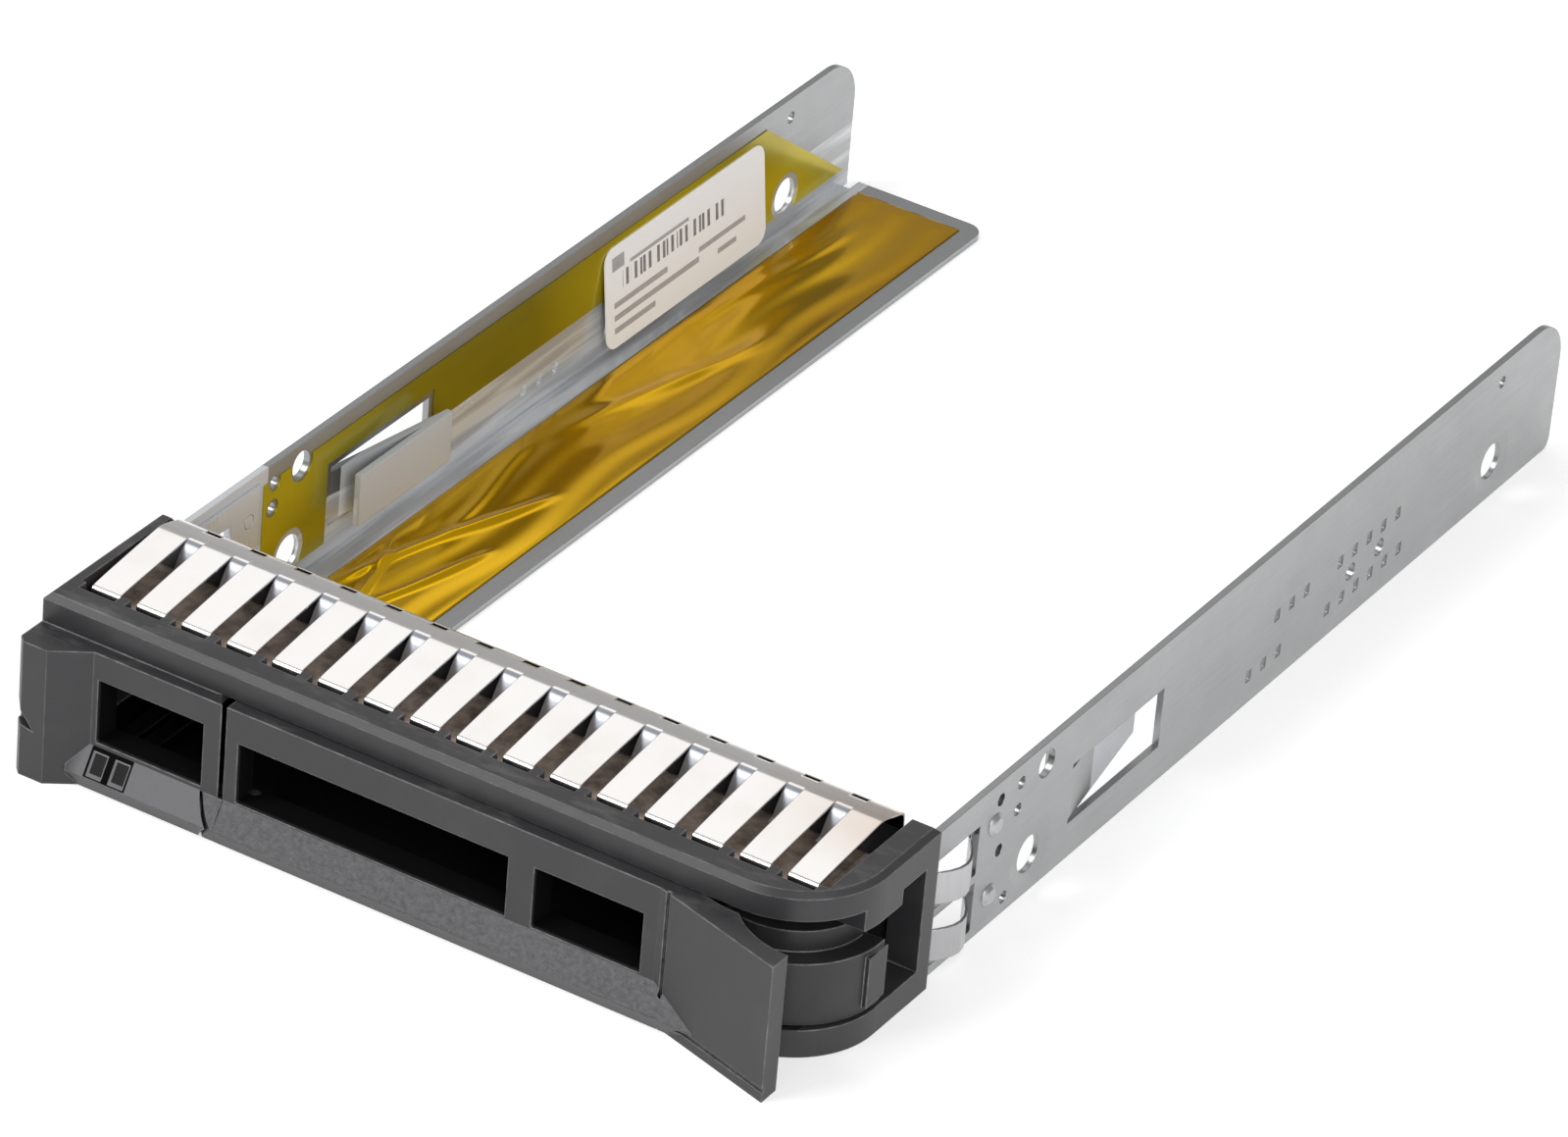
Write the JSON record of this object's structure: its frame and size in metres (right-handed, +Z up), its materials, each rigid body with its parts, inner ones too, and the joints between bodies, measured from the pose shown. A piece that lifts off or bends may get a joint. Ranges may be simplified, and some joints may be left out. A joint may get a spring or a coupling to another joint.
{
  "type": "hot swap drive caddy",
  "caption": "Hot swap caddy for a small disk drive: two sheet-metal rails behind a dark moulded bezel with a swing handle, corner latch and contact fingers.",
  "frame": {"origin": "bottom centre of the whole caddy with the handle shut", "axes": "+Z up from the shelf, +Y from the bezel to the rear ends of the rails, +X to the latch side"},
  "size_m": [0.0736, 0.125, 0.0158],
  "materials": {
    "bezel_plastic": "moulded, fine texture",
    "handle_plastic": "moulded, fine texture",
    "latch_plastic": "moulded, smooth",
    "pin_steel": "turned",
    "spring_steel": "drawn",
    "rail_steel": "zinc coated sheet",
    "gasket_steel": "bright strip",
    "contact_steel": "bright strip",
    "amber_film": "polyimide film",
    "label_paper": "blank",
    "clear_plastic": "clear"
  },
  "bodies": {
    "carrier": {"bezel_frame": "bezel_plastic", "handle_pin_upper": "pin_steel", "handle_pin_lower": "pin_steel", "latch_pin": "pin_steel", "latch_spring": "spring_steel", "handle_spring": "spring_steel", "left_rail": "rail_steel", "right_rail": "rail_steel", "finger_gasket": "gasket_steel", "left_side_contact": "contact_steel", "right_side_contact": "contact_steel", "left_contact_rivets": "pin_steel", "right_contact_rivets": "pin_steel", "shelf_film": "amber_film", "wall_film": "amber_film", "label": "label_paper", "activity_light_pipe": "clear_plastic", "status_light_pipe": "clear_plastic"},
    "handle": {"handle": "handle_plastic"},
    "latch": {"latch": "latch_plastic"}
  },
  "joints": [
    {"name": "handle_hinge", "type": "hinge", "parent": "carrier", "child": "handle", "pos_m": [-0.0166, -0.0563, 0.0062], "axis": [0, 0, -1], "range_deg": [0, 55]},
    {"name": "latch_pivot", "type": "hinge", "parent": "carrier", "child": "latch", "pos_m": [0.0284, -0.0491, 0.0062], "axis": [0, 0, 1], "range_deg": [0, 12], "stiffness_Nm_per_rad": 0.02}
  ]
}
